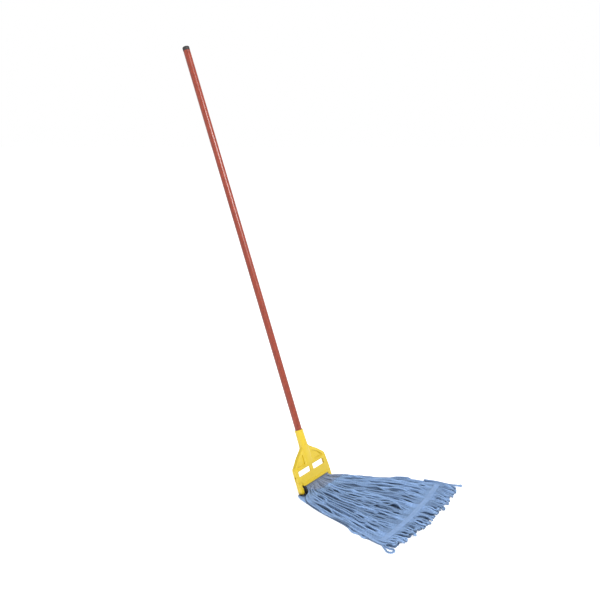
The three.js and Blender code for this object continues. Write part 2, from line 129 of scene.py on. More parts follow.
def noise(tree, vector, scale, detail=3.0, roughness=0.5):
    node = add_node(tree, "ShaderNodeTexNoise",
                    Vector=vector, Scale=scale, Detail=detail, Roughness=roughness)
    return node.outputs["Fac"]


def ramp(tree, factor, stops):
    """Colour ramp through (position, colour) stops."""
    node = add_node(tree, "ShaderNodeValToRGB", Fac=factor)
    elements = node.color_ramp.elements
    while len(elements) < len(stops):
        elements.new(0.5)
    for element, (position, colour) in zip(elements, stops):
        element.position = position
        element.color = (*colour, 1)
    return node.outputs["Color"]


def remap(tree, value, low, high, from_low=0.0, from_high=1.0):
    """The value's range from from_low to from_high stretched to the range from low to high."""
    node = add_node(tree, "ShaderNodeMapRange", Value=value,
                    From_Min=from_low, From_Max=from_high, To_Min=low, To_Max=high)
    return node.outputs["Result"]


def maths(tree, operation, first, second=0.0):
    node = add_node(tree, "ShaderNodeMath", {"operation": operation})
    for socket, value in zip(node.inputs, (first, second)):
        plug(tree, value, socket)
    return node.outputs["Value"]


def wave(tree, coordinate, pitch):
    """Sine wave along a coordinate, in the coordinate's own unit."""
    return maths(tree, "SINE", maths(tree, "MULTIPLY", coordinate, 2 * math.pi / pitch))


def mixed(tree, factor, first, second, blend="MIX"):
    """Colour mix of two colours or colour outputs."""
    node = add_node(tree, "ShaderNodeMix", {"data_type": "RGBA", "blend_type": blend})
    for socket, value in zip(("Factor", 6, 7), (factor, first, second)):
        plug(tree, (*value, 1) if isinstance(value, tuple) else value, node.inputs[socket])
    return node.outputs[2]


def shaded(tree, colour, shade):
    return mixed(tree, 1.0, colour, shade, "MULTIPLY")


def bump(tree, height, distance, strength=1.0):
    node = add_node(tree, "ShaderNodeBump", Height=height, Distance=distance, Strength=strength)
    return node.outputs["Normal"]


def attribute(tree, name):
    return add_node(tree, "ShaderNodeAttribute", {"attribute_name": name}).outputs["Fac"]


# ---------- materials ----------


def yellow_plastic():
    material, tree, shader = new_material("yellow_plastic")
    place = object_coordinates(tree)
    cloud = noise(tree, place, 24)
    colour = ramp(tree, cloud, [(0.3, (0.62, 0.445, 0.012)), (0.75, (0.67, 0.49, 0.022))])
    height = add_node(tree, "ShaderNodeSeparateXYZ", Vector=place).outputs["Z"]
    # painted shade: the yellow darkens to brown towards the floor, on the parts that come near it
    floor_shade = remap(tree, height, 0.9, 0.0, 9 * MM, 20 * MM)  # on the feet, next to the floor
    scuffs = noise(tree, object_coordinates(tree, (60, 60, 400), (LEAN, 0, 0)), 1.0, 6.0, 0.7)
    set_inputs(
        tree, shader,
        Base_Color=mixed(tree, floor_shade, colour, (0.20, 0.09, 0.01)),
        Roughness=remap(tree, scuffs, 0.26, 0.46, 0.35, 0.7),
        Normal=bump(tree, noise(tree, place, 1500, 2.0), 0.06 * MM),
        Coat_Weight=0.1, Coat_Roughness=0.2,
        Subsurface_Weight=0.05, Subsurface_Radius=(0.004, 0.003, 0.001),
    )
    return material


def lacquered_wood():
    material, tree, shader = new_material("lacquered_wood")
    along = (LEAN, 0, 0)
    grain = noise(tree, object_coordinates(tree, (240, 240, 5), along), 1.0, 5.0, 0.65)
    streaks = noise(tree, object_coordinates(tree, (1100, 1100, 14), along), 1.0, 3.0)
    red = [(0.28, (0.15, 0.018, 0.007)), (0.5, (0.265, 0.033, 0.011)), (0.75, (0.345, 0.05, 0.02))]
    pores = remap(tree, streaks, 0.72, 1.0, 0.36, 0.55)
    set_inputs(
        tree, shader,
        Base_Color=shaded(tree, ramp(tree, grain, red), pores),
        Roughness=remap(tree, grain, 0.30, 0.42),
        Normal=bump(tree, streaks, 0.12 * MM, 0.6),
        Coat_Weight=0.16, Coat_Roughness=0.15,
    )
    return material


def plated_steel():
    material, tree, shader = new_material("plated_steel")
    brushed = noise(tree, object_coordinates(tree, (40, 900, 900)), 1.0, 4.0)
    set_inputs(
        tree, shader,
        Base_Color=ramp(tree, brushed, [(0.3, (0.40, 0.41, 0.42)), (0.7, (0.56, 0.57, 0.58))]),
        Roughness=remap(tree, brushed, 0.22, 0.42),
        Normal=bump(tree, brushed, 0.05 * MM, 0.5),
        Metallic=1.0,
    )
    return material


def dark_plastic(name, colour, roughness):
    """Black rubber or plastic with a little dust on it."""
    material, tree, shader = new_material(name)
    place = object_coordinates(tree)
    dust = noise(tree, place, 90, 5.0, 0.6)
    lighter = tuple(value * 1.9 + 0.006 for value in colour)
    set_inputs(
        tree, shader,
        Base_Color=ramp(tree, dust, [(0.35, colour), (0.8, lighter)]),
        Roughness=remap(tree, dust, roughness - 0.08, roughness + 0.1),
        Normal=bump(tree, noise(tree, place, 1300, 2.0), 0.08 * MM),
    )
    return material


def twisted_yarn(name, valley, ridge):
    """Cotton and synthetic yarn: ridge colour on the plies, and a darker valley colour between them,
    which is painted shade.
    """
    material, tree, shader = new_material(name)
    skew = add_node(tree, "ShaderNodeMapping", Vector=cloth_coordinates(tree), Scale=(2.0, 14.0, 1.0))
    fibres = noise(tree, skew.outputs["Vector"], 5.0, 4.0, 0.65)
    patches = noise(tree, object_coordinates(tree), 38, 3.0)
    # painted shade: the colour darkens from the ridges of the plies into the grooves between them
    ply = remap(tree, attribute(tree, "ridge"), 0.0, 1.0, 0.0, 0.8)
    colour = mixed(tree, ply, valley, ridge)
    colour = shaded(tree, colour, remap(tree, fibres, 0.78, 1.16, 0.25, 0.75))
    colour = shaded(tree, colour, remap(tree, patches, 0.88, 1.08, 0.3, 0.7))
    set_inputs(
        tree, shader,
        # each vertex's own factor: the yarn's random tone times the painted shade of gaps and of the
        # wheel's shadow
        Base_Color=shaded(tree, colour, attribute(tree, "tint")),
        Roughness=0.95, Specular_IOR_Level=0.2,
        Sheen_Weight=0.25, Sheen_Roughness=0.5, Sheen_Tint=(0.75, 0.85, 1.0, 1),
        Normal=bump(tree, fibres, 0.6 * MM, 0.8),
    )
    return material


def woven_mesh():
    """Open polyester mesh: thread squares, with the gaps between them painted dark as painted shade."""
    material, tree, shader = new_material("mesh_fabric")
    weave = add_node(tree, "ShaderNodeSeparateXYZ", Vector=cloth_coordinates(tree))
    threads = [maths(tree, "ABSOLUTE", wave(tree, weave.outputs[axis], 2.6)) for axis in ("X", "Y")]
    height = maths(tree, "MAXIMUM", threads[0], threads[1])
    fuzz = noise(tree, object_coordinates(tree), 700, 3.0)
    gap = remap(tree, height, 0.0, 1.0, 0.45, 0.8)
    # painted shade in the gaps of the mesh, which is a closed sheet
    colour = mixed(tree, gap, (0.06, 0.10, 0.22), (0.205, 0.265, 0.40))
    # painted shade over the grooves of the yarn under the headband, painted light over its strands
    colour = shaded(tree, colour, remap(tree, attribute(tree, "imprint"), 0.4, 1.42))
    colour = shaded(tree, colour, remap(tree, fuzz, 0.85, 1.1, 0.3, 0.7))
    set_inputs(tree, shader, Base_Color=colour, Roughness=0.75, Sheen_Weight=0.2,
               Normal=bump(tree, height, 0.6 * MM))
    return material


def tape():
    """Flat woven tape with fine lengthwise ribs."""
    material, tree, shader = new_material("blue_tape")
    weave = add_node(tree, "ShaderNodeSeparateXYZ", Vector=cloth_coordinates(tree))
    ribs = wave(tree, weave.outputs["X"], 1.4)
    picks = maths(tree, "MULTIPLY", wave(tree, weave.outputs["Y"], 0.9), 0.6)
    height = remap(tree, maths(tree, "ADD", ribs, picks), 0, 1, -1.6, 1.6)
    patches = noise(tree, object_coordinates(tree), 60, 4.0)
    # painted shade in the grooves between the ribs and picks, painted light on their tops
    colour = mixed(tree, height, (0.17, 0.29, 0.53), (0.285, 0.455, 0.74))
    # painted shade over the grooves of the yarn under the tape, painted light over its strands
    colour = shaded(tree, colour, remap(tree, attribute(tree, "imprint"), 0.7, 1.15))
    colour = shaded(tree, colour, remap(tree, patches, 0.85, 1.1, 0.3, 0.7))
    set_inputs(tree, shader, Base_Color=colour, Roughness=0.85, Sheen_Weight=0.25,
               Normal=bump(tree, height, 0.3 * MM, 0.8))
    return material


def sewing_thread():
    material, tree, shader = new_material("thread")
    twist = noise(tree, object_coordinates(tree), 1900, 2.0)
    colour = ramp(tree, twist, [(0.35, (0.20, 0.31, 0.56)), (0.7, (0.36, 0.48, 0.74))])
    set_inputs(tree, shader, Base_Color=colour, Roughness=0.7, Normal=bump(tree, twist, 0.2 * MM))
    return material


def floor_paint():
    material, tree, shader = new_material("floor_paint")
    set_inputs(tree, shader, Base_Color=(0.86, 0.86, 0.86, 1), Roughness=0.9, Specular_IOR_Level=0.1,
               Emission_Color=(1, 1, 1, 1), Emission_Strength=0.7)
    return material


# ---------- mesh helpers ----------


def add_piece(name, vertices, faces, material, slot, uvs=None, fields=None):
    """A mesh piece of the mop head. uvs has one pair and each field one value per vertex."""
    mesh = bpy.data.meshes.new(name)
    mesh.from_pydata(np.asarray(vertices).tolist(), [], faces)
    mesh.polygons.foreach_set("use_smooth", [True] * len(mesh.polygons))
    if uvs is not None:
        corners = np.empty(len(mesh.loops), dtype=np.int32)
        mesh.loops.foreach_get("vertex_index", corners)
        layer = mesh.uv_layers.new(name="along")
        layer.data.foreach_set("uv", np.asarray(uvs, dtype=np.float32)[corners].ravel())
    for field, values in (fields or {}).items():
        data = mesh.attributes.new(field, "FLOAT", "POINT")
        data.data.foreach_set("value", np.asarray(values, dtype=np.float32))
    mesh.materials.append(material)
    mesh.validate()
    piece = bpy.data.objects.new(name, mesh)
    bpy.context.scene.collection.objects.link(piece)
    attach(piece, "mop_head")
    return piece


def joined(shapes):
    """The vertices and faces of several shapes as those of one."""
    vertices, faces = [], []
    count = 0
    for points, polygons in shapes:
        vertices.append(points)
        faces.extend([[index + count for index in polygon] for polygon in polygons])
        count += len(points)
    return np.vstack(vertices), faces


def grid_faces(rows, columns, closed_rows=False, closed_columns=False, start=0):
    """Quads over a grid of vertices that are numbered row by row."""
    row = np.arange(rows if closed_rows else rows - 1)[:, None]
    column = np.arange(columns if closed_columns else columns - 1)[None, :]
    next_row, next_column = (row + 1) % rows, (column + 1) % columns
    quads = np.stack([
        row * columns + column,
        row * columns + next_column,
        next_row * columns + next_column,
        next_row * columns + column,
    ], axis=-1)
    return quads.reshape(-1, 4) + start


def unit(vectors):
    return vectors / np.maximum(np.linalg.norm(vectors, axis=-1, keepdims=True), 1e-12)


def smoothed(values, passes, closed=False):
    """Each pass moves every point halfway to the middle of its neighbours. The ends stay."""
    values = values.copy()
    for _ in range(passes):
        if closed:
            values = 0.5 * values + 0.25 * (np.roll(values, 1, 0) + np.roll(values, -1, 0))
        else:
            values[1:-1] = 0.5 * values[1:-1] + 0.25 * (values[2:] + values[:-2])
    return values


def smoothed_grid(values, passes):
    """Smoothed down the columns and then along the rows."""
    return smoothed(smoothed(values, passes).T, passes).T


def steps_along(points, axis=0):
    return np.linalg.norm(np.diff(points, axis=axis), axis=-1)


def path_length(points, axis=0):
    return steps_along(points, axis).sum(axis=axis)


def distance_along(points, axis=0):
    """Distance of each point from the start, along a line or along a grid's rows or columns."""
    return np.insert(np.cumsum(steps_along(points, axis), axis=axis), 0, 0, axis=axis)


def spaced_out(line, count, closed=False):
    """count points at even distances along a line, and its length.

    A point's first three values are its place, and any others are carried along."""
    if closed:
        line = np.vstack([line, line[:1]])
    distance = distance_along(line[:, :3])
    at = np.linspace(0, distance[-1], count, endpoint=not closed)
    return np.stack([np.interp(at, distance, values) for values in line.T], axis=1), distance[-1]


def carried_frames(line, closed):
    """Two directions square to the line at each point, carried along it without twisting."""
    if closed:
        tangent = unit(np.roll(line, -1, 0) - np.roll(line, 1, 0))
    else:
        tangent = unit(np.gradient(line, axis=0))
    side = np.empty_like(line)
    side[0] = unit(np.cross(tangent[0], (0.3, 0.1, 1.0)))
    for index in range(1, len(line)):
        carried = side[index - 1] - tangent[index] * side[index - 1].dot(tangent[index])
        side[index] = carried / math.sqrt(carried.dot(carried))
    return tangent, side, np.cross(tangent, side)


def twisted_tube(line, radius, length, closed):
    """Surface of a yarn along an evenly spaced line, with its radius at each point.

    Gives its vertices, faces, uvs and how far up a ply each vertex is."""
    tangent, side, up = carried_frames(line, closed)
    count = len(line)
    share = np.arange(count) / count
    turns = round(length / LAY_LENGTH) * 2 * math.pi
    if closed:  # the frame that comes round has turned a little against the first one
        last = side[-1] - tangent[0] * side[-1].dot(tangent[0])
        turns += math.atan2(-last.dot(up[0]), last.dot(side[0]))
    angle = np.arange(RING_SIDES) * 2 * math.pi / RING_SIDES
    ply = 0.5 + 0.5 * np.cos(PLIES * angle)
    reach = (0.80 + 0.24 * ply)[None, :] * radius[:, None]
    turned = angle[None, :] + (share * turns)[:, None]
    rings = (line[:, None, :]
             + (reach * np.cos(turned))[..., None] * side[:, None, :]
             + (reach * np.sin(turned))[..., None] * up[:, None, :])
    vertices = rings.reshape(-1, 3)
    faces = grid_faces(count, RING_SIDES, closed, True)[:, ::-1].tolist()
    along = np.repeat(share * length / (2 * math.pi * YARN_RADIUS), RING_SIDES)
    around = np.tile(np.arange(RING_SIDES) / RING_SIDES, count)
    ridge = np.tile(ply, count)
    if not closed:
        for ring, outward in ((0, -1), (count - 1, 1)):
            tip = len(vertices)
            vertices = np.vstack([vertices, line[ring] + tangent[ring] * outward * radius[ring] * 0.5])
            rim = ring * RING_SIDES + np.arange(RING_SIDES)
            fan = np.stack([rim, np.roll(rim, -1), np.full(RING_SIDES, tip)], axis=1)
            faces.extend(fan[:, ::-outward].tolist())
            along, around, ridge = (np.append(values, 0) for values in (along, around, ridge))
    return vertices, faces, np.stack([around, along], axis=1), ridge


def slab(top, thickness):
    """A closed thin sheet under a grid of points: vertices, faces and uvs in millimetres along it."""
    rows, columns = top.shape[:2]
    count = rows * columns
    normal = unit(np.cross(np.gradient(top, axis=1), np.gradient(top, axis=0)))
    if normal[0, :, 2].mean() < 0:
        normal = -normal
    under = top - normal * thickness
    vertices = np.vstack([top.reshape(-1, 3), under.reshape(-1, 3)])
    number = np.arange(count).reshape(rows, columns)
    rim = np.concatenate([number[0, :-1], number[:-1, -1], number[-1, :0:-1], number[:0:-1, 0]])
    following = np.roll(rim, -1)
    faces = np.vstack([
        grid_faces(rows, columns),
        grid_faces(rows, columns, start=count)[:, ::-1],
        np.stack([following, rim, rim + count, following + count], axis=1),
    ])
    corner = np.cross(top[1, 0] - top[0, 0], top[0, 1] - top[0, 0])
    if corner.dot(normal[0, 0]) > 0:
        faces = faces[:, ::-1]
    uvs = np.stack([distance_along(top, 0), distance_along(top, 1)], axis=-1).reshape(-1, 2) / MM
    return vertices, faces.tolist(), np.tile(uvs, (2, 1))


# ---------- how the yarn lies ----------

# The outer strands of each layer, seen from above, in millimetres, at stations from the crossbar (0)
# past the end of the headband (2.7) and the tail band (7) to the tips (8).
FAN = {
    "front": {
        "near": [(-56, 0), (-60, -19.5), (-89, -31), (-113, -62), (-128, -125),
                 (-144, -226), (-162, -308), (-172, -390), (-158, -430)],
        "far": [(78, 0), (78.4, -19), (98, -36), (120, -64), (156, -130),
                (232, -221), (283, -299), (308, -352), (314, -412)],
    },
    "back": {
        "near": [(-56, 0), (-56.4, -11), (-88, -16), (-112, -56), (-130, -125),
                 (-146, -226), (-164, -308), (-174, -388), (-162, -424)],
        "far": [(78, 0), (78.4, -11), (93, -24), (118, -60), (152, -130),
                (222, -225), (271, -305), (298, -357), (304, -404)],
    },
}
BAR_ENDS = (-56, 78)
HEADBAND_END = 2.7
TAIL_BAND = 7
STATIONS = 8
TIP_STEP = (0.05, -55)  # one more station past the tips, in millimetres
FAN_SAG = 26  # how far the tips bow out in the middle of the fan, in millimetres
LAYERS = ("back", "front")  # the order in which they are laid
HALF_STEP = {"front": 0.25, "back": 0.75}  # strands of the front layer cover the gaps of the back
RESTLESS = {"front": 1.0, "back": 0.2}  # how far the strands wander
STRAND_POINTS = 340  # from the crossbar to the tip

# Heights of each layer's lower and upper side under the headband, in millimetres, by station.
ENVELOPE = {
    "front": ([0, 1, 2, 3, 4], [25.4, 20, 16, 14.5, 13], [28.6, 30.5, 30, 29, 26]),
    "back": ([0, 1, 2, 3, 4], [11.4, 2.2, 2.2, 2.2, 0], [14.6, 9.5, 9.5, 12.5, 12.2]),
}
SUNKEN = 9  # strands of the front layer's near edge, which sink on to the layer below
SINK_UNDER, SINK_OVER = 7, 15  # how far their lower and upper side sink, in millimetres

# The outermost strands of the back layer swell out under the gate.
SWOLLEN = 6
BULGE = [
    (-56, 0), (-57, 3), (-63, 8), (-74, 8), (-84, 7), (-92, 1), (-99, -12), (-106, -34), (-113, -58),
]
BULGE_END = 3.2  # the last point's station
BULGE_SPACING = 4.4 * MM
BULGE_HEIGHT = ([0, 0.5, 1.2, 1.8], [12, 0, 0, 1.3])  # of the underside in millimetres, by station

SLACK = [(5.65, 0.25, 11), (6.17, 0.13, 9)]  # where the near edge bags out: station, width, and mm
SLACK_STRANDS = 4
SQUASH = 0.80  # yarns press into each other where they cross
TIP_POINTS = 14  # in the loop at the tips
TIP_STRAIGHT = 14  # last points of a strand, which give its direction into the loop


def curve_through(points, at):
    """Smooth curve through the points, at fractional point numbers."""
    points = np.asarray(points, dtype=float)
    at = np.clip(np.asarray(at, dtype=float), 0, len(points) - 1)
    first = np.minimum(at.astype(int), len(points) - 2)
    share = (at - first)[..., None]
    padded = np.vstack([2 * points[0] - points[1], points, 2 * points[-1] - points[-2]])
    before, here, there, after = (padded[first + step] for step in range(4))
    return 0.5 * (2 * here + (there - before) * share
                  + (2 * before - 5 * here + 4 * there - after) * share ** 2
                  + (3 * here - 3 * there + after - before) * share ** 3)


def between(value, start, full):
    """0 before start, 1 after full, and smooth in between."""
    share = np.clip((value - start) / (full - start), 0, 1)
    return share * share * (3 - 2 * share)


def in_plan(layer, station, across):
    """Place seen from above, in metres. across runs from 0 at the near edge to 1 at the far edge."""
    station, across = np.broadcast_arrays(np.asarray(station, float), np.asarray(across, float))
    beyond = np.maximum(station - STATIONS, 0)[..., None]
    near = curve_through(FAN[layer]["near"], station)
    far = curve_through(FAN[layer]["far"], station)
    place = near + (far - near) * across[..., None]
    place[..., 1] -= FAN_SAG * (station / STATIONS) ** 3 * 4 * across * (1 - across)
    return (place + beyond * TIP_STEP) * MM


def on_floor(plan):
    """Places seen from above as points on the floor."""
    flat = plan.reshape(-1, 2)
    return np.column_stack([flat, np.zeros(len(flat))])


class HeightMap:
    """Height of the heap of yarn at each point of the floor."""

    cell = 1.5 * MM
    corner = np.array([-260, -560]) * MM
    shape = (440, 400)

    def __init__(self):
        self.top = np.zeros(self.shape)
        reach = np.arange(-3, 4)
        self.steps = np.stack(np.meshgrid(reach, reach, indexing="ij"), axis=-1).reshape(-1, 2)

    def cells(self, places):
        """Cells round each place, and each one's distance from it."""
        grid = (places[:, :2] - self.corner) / self.cell
        near = np.floor(grid).astype(int)[:, None, :] + self.steps[None]
        distance = np.linalg.norm((near + 0.5 - grid[:, None, :]) * self.cell, axis=-1)
        near = np.clip(near, 0, np.array(self.shape) - 1)
        return near[..., 0], near[..., 1], distance

    def covered(self, places, radius):
        """Cells round each place, if a round yarn there covers them, and half its height over them."""
        x, y, distance = self.cells(places)
        radius = radius[:, None]
        return x, y, distance < radius, np.sqrt(np.maximum(radius ** 2 - distance ** 2, 0))

    def resting_height(self, places, radius):
        """Lowest height of the centre of a round yarn that lies on the heap at each place."""
        x, y, inside, half = self.covered(places, radius)
        return np.where(inside, self.top[x, y] + half, radius[:, None]).max(axis=1)

    def lay(self, places, radius):
        """Adds a yarn with its centre at each place to the heap."""
        x, y, inside, half = self.covered(places, radius)
        self.raise_to(x, y, np.where(inside, places[:, 2:3] + half, 0))

    def spread(self, places, heights):
        """Raises the heap to a sheet's heights at each place."""
        x, y, distance = self.cells(places)
        self.raise_to(x, y, np.where(distance < 2.6 * MM, np.asarray(heights)[:, None], 0))

    def raise_to(self, x, y, height):
        np.maximum.at(self.top, (x.ravel(), y.ravel()), height.ravel())

    def under(self, places, reach):
        """Highest point of the heap within reach of each place."""
        x, y, distance = self.cells(places)
        return np.where(distance < reach, self.top[x, y], 0).max(axis=1)


heap = HeightMap()
rng = np.random.default_rng(7)


def wavy(distance, size, longest, shortest, waves=4):
    """Gentle random wandering along a strand."""
    total = np.zeros_like(distance)
    for length in np.geomspace(longest, shortest, waves):
        total += (length / longest) ** 0.8 * np.sin(2 * math.pi * (distance / length + rng.random()))
    return total * size / 1.6


def clumps(across, distance):
    """Wandering that neighbouring strands share, so that they gather and part."""
    wide = np.sin(across * 17 + distance * 21) + np.sin(across * 31 - distance * 13 + 1.7)
    fine = np.sin(across * 58 + distance * 34) + np.sin(across * 83 - distance * 47)
    bunch = np.sin(across * 126 + 2.5 * np.sin(distance * 13 + across * 9) + distance * 8)
    return (1.0 * wide + 0.7 * fine + 2.8 * bunch) * MM


def swell(place, station, number):
    """Moves an outermost strand of the back layer out to the bulge under the gate."""
    route = curve_through(BULGE, station * (len(BULGE) - 1) / BULGE_END) * MM
    along = unit(np.gradient(route, axis=0))
    inward = np.stack([-along[:, 1], along[:, 0]], axis=1)
    turned = between(station, 0.5, 0.9)[:, None]  # before that, the strands part under the wheel
    inward = unit(inward * turned + np.array([0, -1]) * (1 - turned))
    route = route + inward * (number * BULGE_SPACING * between(station, 0.05, 0.4))[:, None]
    share = between(station, 0.0, 0.25) * between(BULGE_END - station, 0.0, 0.6)
    return place + (route - place) * share[:, None]


def even_plan(layer, number, station):
    """A strand's even place in the fan, from above."""
    across = (number + HALF_STEP[layer]) / STRANDS
    spread = 0.028 * math.sin(2 * math.pi * across)  # thins out the edges of the fan
    spread = spread * between(station, 2.5, 4) * between(TAIL_BAND - station, 0.2, 1.5)
    place = in_plan(layer, station, across - spread)
    if layer == "back" and number < SWOLLEN:
        place = swell(place, station, number)
    return place


def straying(layer, number, station, distance, loose, sway):
    """How far a strand strays sideways from its even place."""
    across = (number + HALF_STEP[layer]) / STRANDS
    free = between(station, 2.5, 3.6) * between(TAIL_BAND - station, 0.15, 0.9)
    fringe = between(station, TAIL_BAND + 0.2, TAIL_BAND + 0.8)
    middle = math.exp(-((across - 0.5) / 0.36) ** 2) * between(station, 4.0, 5.6)
    own = wavy(distance, (1.3 + 5.0 * loose) * MM, 0.19, 0.045) * (0.6 + 0.9 * middle)
    edge = min(across, 0.6 * (1 - across))  # strands near the edges of the fan lie straighter
    wander = (own + clumps(across, distance)) * min(1.0, 0.4 + edge * 6) * RESTLESS[layer]
    past_band = np.maximum(distance - np.interp(TAIL_BAND + 0.15, station, distance), 0)
    mate = 1 if number % 2 == 0 else -1  # which way its partner in the loop at the tips lies
    pinch = 2.6 * between(station, TAIL_BAND + 0.15, TAIL_BAND + 0.5)
    pinch = pinch - 3.2 * between(station, STATIONS - 0.4, STATIONS + 0.05)  # the loop opens again
    offset = (free + 0.25 * fringe) * wander + sway * past_band + mate * MM * pinch
    if layer == "back" and number < SLACK_STRANDS:
        for centre, width, reach in SLACK:
            bag = np.exp(-((station - centre) / width) ** 2)
            offset = offset - bag * reach * MM * (1 - number / SLACK_STRANDS)
    return offset


def strand_plan(layer, number, tip, loose, sway):
    """A strand from the crossbar to its tip, from above, with its radius and its station."""
    station = np.linspace(0, tip, STRAND_POINTS)
    place = even_plan(layer, number, station)
    along = unit(np.gradient(place, axis=0))
    sideways = np.stack([-along[:, 1], along[:, 0]], axis=1)
    offset = straying(layer, number, station, distance_along(place), loose, sway)
    place = place + sideways * offset[:, None]
    # The headband squeezes the yarn, and the swollen strands have to pass under the wheel.
    tight = 0.46 if layer == "back" and number < SWOLLEN else 0.56
    radius = YARN_RADIUS * np.interp(station, [0, 1, 2, 3], [0.42, tight, 0.76, 1.0])
    return place, radius, station


def hairpin(layer, number):
    """Two neighbouring strands and the loop that joins them at the tips."""
    loose = rng.random() ** 3
    sway = rng.normal(0, 0.05)
    tip = STATIONS + rng.uniform(-0.12, 0.08)
    first, first_radius, first_station = strand_plan(layer, number, tip, loose, sway)
    tip += rng.uniform(-0.03, 0.03)
    second, second_radius, second_station = strand_plan(layer, number + 1, tip, loose * 0.8, sway)
    start, end = first[-1], second[-1]
    gap = np.linalg.norm(end - start)
    reach = 0.8 * max(gap, 2.4 * YARN_RADIUS) * 1.3
    start_way, end_way = unit(start - first[-TIP_STRAIGHT]), unit(end - second[-TIP_STRAIGHT])
    share = np.linspace(0, 1, TIP_POINTS + 2)[1:-1, None]
    loop = ((1 - share) ** 3 * start + 3 * share * (1 - share) ** 2 * (start + start_way * reach)
            + 3 * share ** 2 * (1 - share) * (end + end_way * reach) + share ** 3 * end)
    half = TIP_POINTS // 2
    tip_radius, tip_station = np.full(half, YARN_RADIUS), np.full(half, STATIONS + 0.2)
    return (
        (np.vstack([first, loop[:half]]),
         np.append(first_radius, tip_radius), np.append(first_station, tip_station)),
        (np.vstack([second, loop[half:][::-1]]),
         np.append(second_radius, tip_radius), np.append(second_station, tip_station)),
    )


def packed_height(layer, number, station, radius):
    """A strand's height where the headband holds it."""
    stations, under, over = ENVELOPE[layer]
    low = np.interp(station, stations, under) * MM + radius
    high = np.interp(station, stations, over) * MM - radius
    if layer == "front":
        sunk = max(0.0, 1 - number / SUNKEN) * between(station, 0.3, 1.6) * MM
        low, high = low - SINK_UNDER * sunk, high - SINK_OVER * sunk
    height = low + (high - low) * rng.random()
    if layer == "back" and number < SWOLLEN:
        height = np.interp(station, *BULGE_HEIGHT) * MM + radius
    return height


def lay_strand(layer, number, plan, radius, station):
    """The strand's points in space, lying on the heap, which it is added to."""
    places = on_floor(plan)
    resting = heap.resting_height(places, radius * SQUASH)
    sewn = between(station, 2.2, 3.6)
    height = packed_height(layer, number, station, radius) * (1 - sewn) + resting * sewn
    floor = height.copy()
    for _ in range(30):
        height = np.maximum(smoothed(height, 1), floor - 0.5 * MM)
    places[:, 2] = np.maximum(height, radius)
    heap.lay(places, radius * SQUASH)
    return places


def lay_layer(layer):
    """All the strands of one layer, laid in a random order. Each is a line of x, y, z and radius."""
    halves = []
    for number in range(0, STRANDS, 2):
        first, second = hairpin(layer, number)
        halves.append((number, first))
        halves.append((number + 1, second))
    laid = {}
    for index in rng.permutation(len(halves)):
        number, (plan, radius, station) = halves[index]
        laid[number] = np.column_stack([lay_strand(layer, number, plan, radius, station), radius])
    return laid


# ---------- how the headband and the tail bands lie ----------

BAND_THICKNESS = 1.0 * MM
BAND_HALF_WIDTH = 9 * MM
BAND_REACH = (0.02, 0.935)  # across the layer
BAND_ROWS, BAND_COLUMNS = 23, 360
FLAP_ROWS, FLAP_COLUMNS = 46, 150
FLAP_CORNER = (1.3, 0.35)  # cut off the front flap: stations at its near edge, and share of its width
HEADBAND_TURN = 9.8 * MM  # radius round the crossbar


def taut_height(places, rows):
    """Height of a sheet that lies on the heap at each place of a grid, taut between the high points."""
    height = heap.under(places, 1.8 * MM).reshape(rows, -1)
    floor = height.copy()
    for _ in range(4):
        height = np.maximum(smoothed_grid(height, 1), floor)
    return smoothed_grid(height, 2)


def imprint(places, rows):
    """How far the heap stands out under each place of a grid: 0 in a groove, 1 on a strand. The
    headband and the tapes paint shade and light from it.
    """
    height = heap.under(places, 1.6 * MM).reshape(rows, -1)
    level = smoothed_grid(height, 60)
    return np.clip(0.5 + (height - level) / (5 * MM), 0, 1)


def band_plan(layer):
    """Grid of places over a tail band: rows along it, columns across its width."""
    across = np.linspace(*BAND_REACH, BAND_COLUMNS)
    middle = in_plan(layer, TAIL_BAND, across)
    along = unit(in_plan(layer, TAIL_BAND + 0.2, across) - in_plan(layer, TAIL_BAND - 0.2, across))
    wander = 0.6 * MM * np.sin(across * 19 + (1 if layer == "front" else 3))
    side = np.linspace(-1, 1, BAND_ROWS)[:, None, None] * BAND_HALF_WIDTH
    return middle[None] + along[None] * (side + wander[None, :, None])


def lay_band(layer):
    """A tail band on top of what lies there: its upper surface as a grid of points, and its imprint."""
    plan = band_plan(layer)
    places = on_floor(plan)
    height = taut_height(places, BAND_ROWS) + BAND_THICKNESS
    marks = imprint(places, BAND_ROWS)
    heap.spread(places, height.reshape(-1))
    return np.dstack([plan, height]), marks


def flap_plan(layer):
    """Grid of stations and of places over one flap of the headband."""
    across = np.linspace(0, 1, FLAP_COLUMNS)[None, :]
    cut, width = FLAP_CORNER
    end = HEADBAND_END - (cut * (1 - between(across, 0.0, width)) if layer == "front" else 0)
    station = np.linspace(0, 1, FLAP_ROWS)[:, None] * end
    station = np.broadcast_to(station, (FLAP_ROWS, FLAP_COLUMNS))
    return station, in_plan(layer, station, across)


